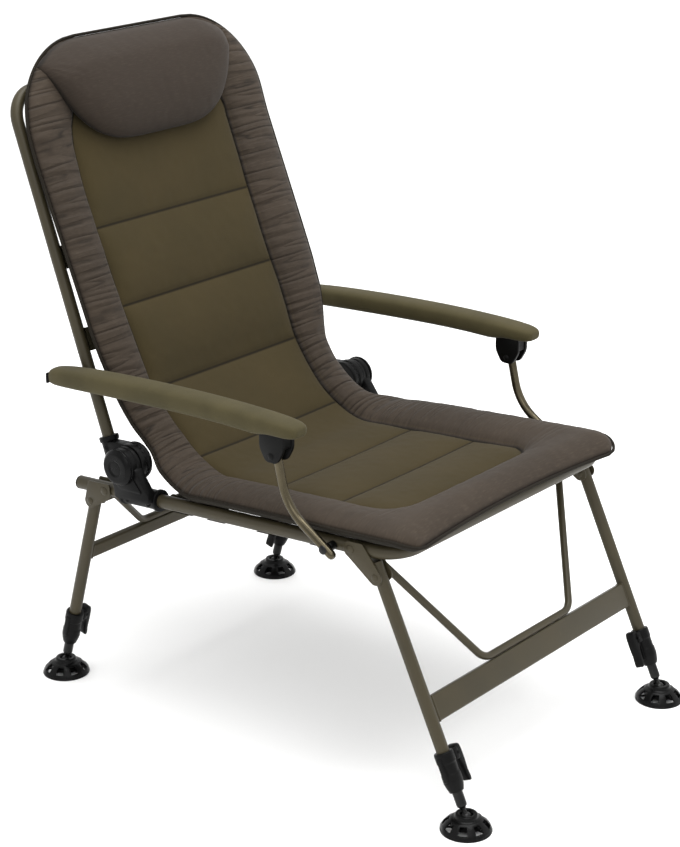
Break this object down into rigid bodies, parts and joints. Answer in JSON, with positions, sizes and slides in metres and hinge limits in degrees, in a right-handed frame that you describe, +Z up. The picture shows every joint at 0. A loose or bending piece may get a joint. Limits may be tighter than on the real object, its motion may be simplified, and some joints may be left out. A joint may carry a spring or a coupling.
{
  "type": "reclining fishing chair",
  "caption": "Reclining fishing chair with a quilted mattress, padded armrests that fold with the back, folding leg frames and telescopic legs on wide swivel feet.",
  "frame": {"origin": "on the floor under the middle of the chair's bounding box", "axes": "+Z up, the sitter faces -Y, +X is the sitter's left"},
  "size_m": [0.652, 0.961, 1.0515],
  "materials": {
    "olive_paint": "semi-gloss olive",
    "black_plastic": "satin moulded",
    "bare_steel": "satin",
    "black_steel": "satin black",
    "grey_fabric": "woven",
    "olive_fabric": "woven, quilted",
    "sleeve_fabric": "brushed",
    "webbing": "woven strap"
  },
  "bodies": {
    "seat": {"seat_tube": "olive_paint", "rear_cross_tube": "olive_paint", "rail_plug_left": "black_plastic", "rail_plug_right": "black_plastic", "hinge_housing_left": "black_plastic", "hinge_housing_right": "black_plastic", "hinge_cap_left": "black_plastic", "hinge_cap_right": "black_plastic", "hinge_bolt_left": "black_steel", "hinge_bolt_right": "black_steel", "post_bolt_left": "black_steel", "post_bolt_right": "black_steel", "seat_webbing": "webbing", "seat_pad": "grey_fabric", "mattress_crease": "olive_fabric"},
    "back": {"back_tube": "olive_paint", "hinge_arm_left": "black_plastic", "hinge_arm_right": "black_plastic", "back_webbing": "webbing", "arm_bolt_left": "black_steel", "arm_bolt_right": "black_steel", "back_pad": "grey_fabric", "head_pillow": "grey_fabric"},
    "arm_left": {"arm_core_left": "black_steel", "arm_sleeve_left": "sleeve_fabric", "arm_block_left": "black_plastic"},
    "post_left": {"arm_post_left": "bare_steel"},
    "arm_right": {"arm_core_right": "black_steel", "arm_sleeve_right": "sleeve_fabric", "arm_block_right": "black_plastic"},
    "post_right": {"arm_post_right": "bare_steel"},
    "front_legs": {"front_plate_left": "olive_paint", "front_plate_right": "olive_paint", "front_brace": "olive_paint", "front_crossbar": "olive_paint", "front_leg_left": "olive_paint", "front_leg_right": "olive_paint", "front_collar_left": "black_plastic", "front_collar_right": "black_plastic"},
    "front_lever_left_body": {"front_lever_left": "black_plastic"},
    "front_inner_leg_left_body": {"front_inner_leg_left": "black_steel"},
    "front_foot_left_body": {"front_foot_left": "black_plastic"},
    "front_lever_right_body": {"front_lever_right": "black_plastic"},
    "front_inner_leg_right_body": {"front_inner_leg_right": "black_steel"},
    "front_foot_right_body": {"front_foot_right": "black_plastic"},
    "rear_legs": {"rear_plate_left": "olive_paint", "rear_plate_right": "olive_paint", "rear_brace": "olive_paint", "rear_crossbar": "olive_paint", "rear_leg_left": "olive_paint", "rear_leg_right": "olive_paint", "rear_collar_left": "black_plastic", "rear_collar_right": "black_plastic"},
    "rear_lever_left_body": {"rear_lever_left": "black_plastic"},
    "rear_inner_leg_left_body": {"rear_inner_leg_left": "black_steel"},
    "rear_foot_left_body": {"rear_foot_left": "black_plastic"},
    "rear_lever_right_body": {"rear_lever_right": "black_plastic"},
    "rear_inner_leg_right_body": {"rear_inner_leg_right": "black_steel"},
    "rear_foot_right_body": {"rear_foot_right": "black_plastic"}
  },
  "joints": [
    {"name": "back_recline", "type": "hinge", "parent": "seat", "child": "back", "pos_m": [0, 0.22097, 0.42124], "axis": [1, 0, 0], "range_deg": [-30, 98], "deforming": ["mattress_crease"]},
    {"name": "arm_left_hinge", "type": "hinge", "parent": "back", "child": "arm_left", "pos_m": [0.302, 0.31312, 0.54741], "axis": [1, 0, 0], "range_deg": [-98, 30]},
    {"name": "post_left_hinge", "type": "hinge", "parent": "seat", "child": "post_left", "pos_m": [0.302, -0.19916, 0.39402], "axis": [1, 0, 0], "range_deg": [-30, 98]},
    {"name": "arm_right_hinge", "type": "hinge", "parent": "back", "child": "arm_right", "pos_m": [-0.302, 0.31312, 0.54741], "axis": [1, 0, 0], "range_deg": [-98, 30]},
    {"name": "post_right_hinge", "type": "hinge", "parent": "seat", "child": "post_right", "pos_m": [-0.302, -0.19916, 0.39402], "axis": [1, 0, 0], "range_deg": [-30, 98]},
    {"name": "front_legs_fold", "type": "hinge", "parent": "seat", "child": "front_legs", "pos_m": [0, -0.23169, 0.39618], "axis": [1, 0, 0], "range_deg": [0, 80]},
    {"name": "rear_legs_fold", "type": "hinge", "parent": "seat", "child": "rear_legs", "pos_m": [0, 0.2732, 0.36265], "axis": [-1, 0, 0], "range_deg": [0, 103.9]},
    {"name": "front_lever_left_hinge", "type": "hinge", "parent": "front_legs", "child": "front_lever_left_body", "pos_m": [0.2509, -0.40066, 0.10491], "axis": [0, 0.9033, -0.4289], "range_deg": [0, 25], "stiffness_Nm_per_rad": 0.6},
    {"name": "front_leg_left_slide", "type": "slide", "parent": "front_legs", "child": "front_inner_leg_left_body", "axis": [0, 0.4289, 0.9033], "range_m": [-0.12, 0.012]},
    {"name": "front_foot_left_swivel", "type": "hinge", "parent": "front_inner_leg_left_body", "child": "front_foot_left_body", "pos_m": [0.272, -0.44098, 0.02], "axis": [1, 0, 0], "range_deg": [-15, 15]},
    {"name": "front_lever_right_hinge", "type": "hinge", "parent": "front_legs", "child": "front_lever_right_body", "pos_m": [-0.2509, -0.40066, 0.10491], "axis": [0, -0.9033, 0.4289], "range_deg": [0, 25], "stiffness_Nm_per_rad": 0.6},
    {"name": "front_leg_right_slide", "type": "slide", "parent": "front_legs", "child": "front_inner_leg_right_body", "axis": [0, 0.4289, 0.9033], "range_m": [-0.12, 0.012]},
    {"name": "front_foot_right_swivel", "type": "hinge", "parent": "front_inner_leg_right_body", "child": "front_foot_right_body", "pos_m": [-0.272, -0.44098, 0.02], "axis": [1, 0, 0], "range_deg": [-15, 15]},
    {"name": "rear_lever_left_hinge", "type": "hinge", "parent": "rear_legs", "child": "rear_lever_left_body", "pos_m": [0.2509, 0.36955, 0.11054], "axis": [0, 0.9632, 0.2689], "range_deg": [0, 25], "stiffness_Nm_per_rad": 0.6},
    {"name": "rear_leg_left_slide", "type": "slide", "parent": "rear_legs", "child": "rear_inner_leg_left_body", "axis": [0, -0.2689, 0.9632], "range_m": [-0.12, 0.012]},
    {"name": "rear_foot_left_swivel", "type": "hinge", "parent": "rear_inner_leg_left_body", "child": "rear_foot_left_body", "pos_m": [0.272, 0.39483, 0.02], "axis": [1, 0, 0], "range_deg": [-15, 15]},
    {"name": "rear_lever_right_hinge", "type": "hinge", "parent": "rear_legs", "child": "rear_lever_right_body", "pos_m": [-0.2509, 0.36955, 0.11054], "axis": [0, -0.9632, -0.2689], "range_deg": [0, 25], "stiffness_Nm_per_rad": 0.6},
    {"name": "rear_leg_right_slide", "type": "slide", "parent": "rear_legs", "child": "rear_inner_leg_right_body", "axis": [0, -0.2689, 0.9632], "range_m": [-0.12, 0.012]},
    {"name": "rear_foot_right_swivel", "type": "hinge", "parent": "rear_inner_leg_right_body", "child": "rear_foot_right_body", "pos_m": [-0.272, 0.39483, 0.02], "axis": [1, 0, 0], "range_deg": [-15, 15]}
  ],
  "couplings": [
    {"joint": "arm_left_hinge", "follows": "back_recline", "ratio": -1},
    {"joint": "post_left_hinge", "follows": "back_recline", "ratio": 1},
    {"joint": "arm_right_hinge", "follows": "back_recline", "ratio": -1},
    {"joint": "post_right_hinge", "follows": "back_recline", "ratio": 1}
  ]
}
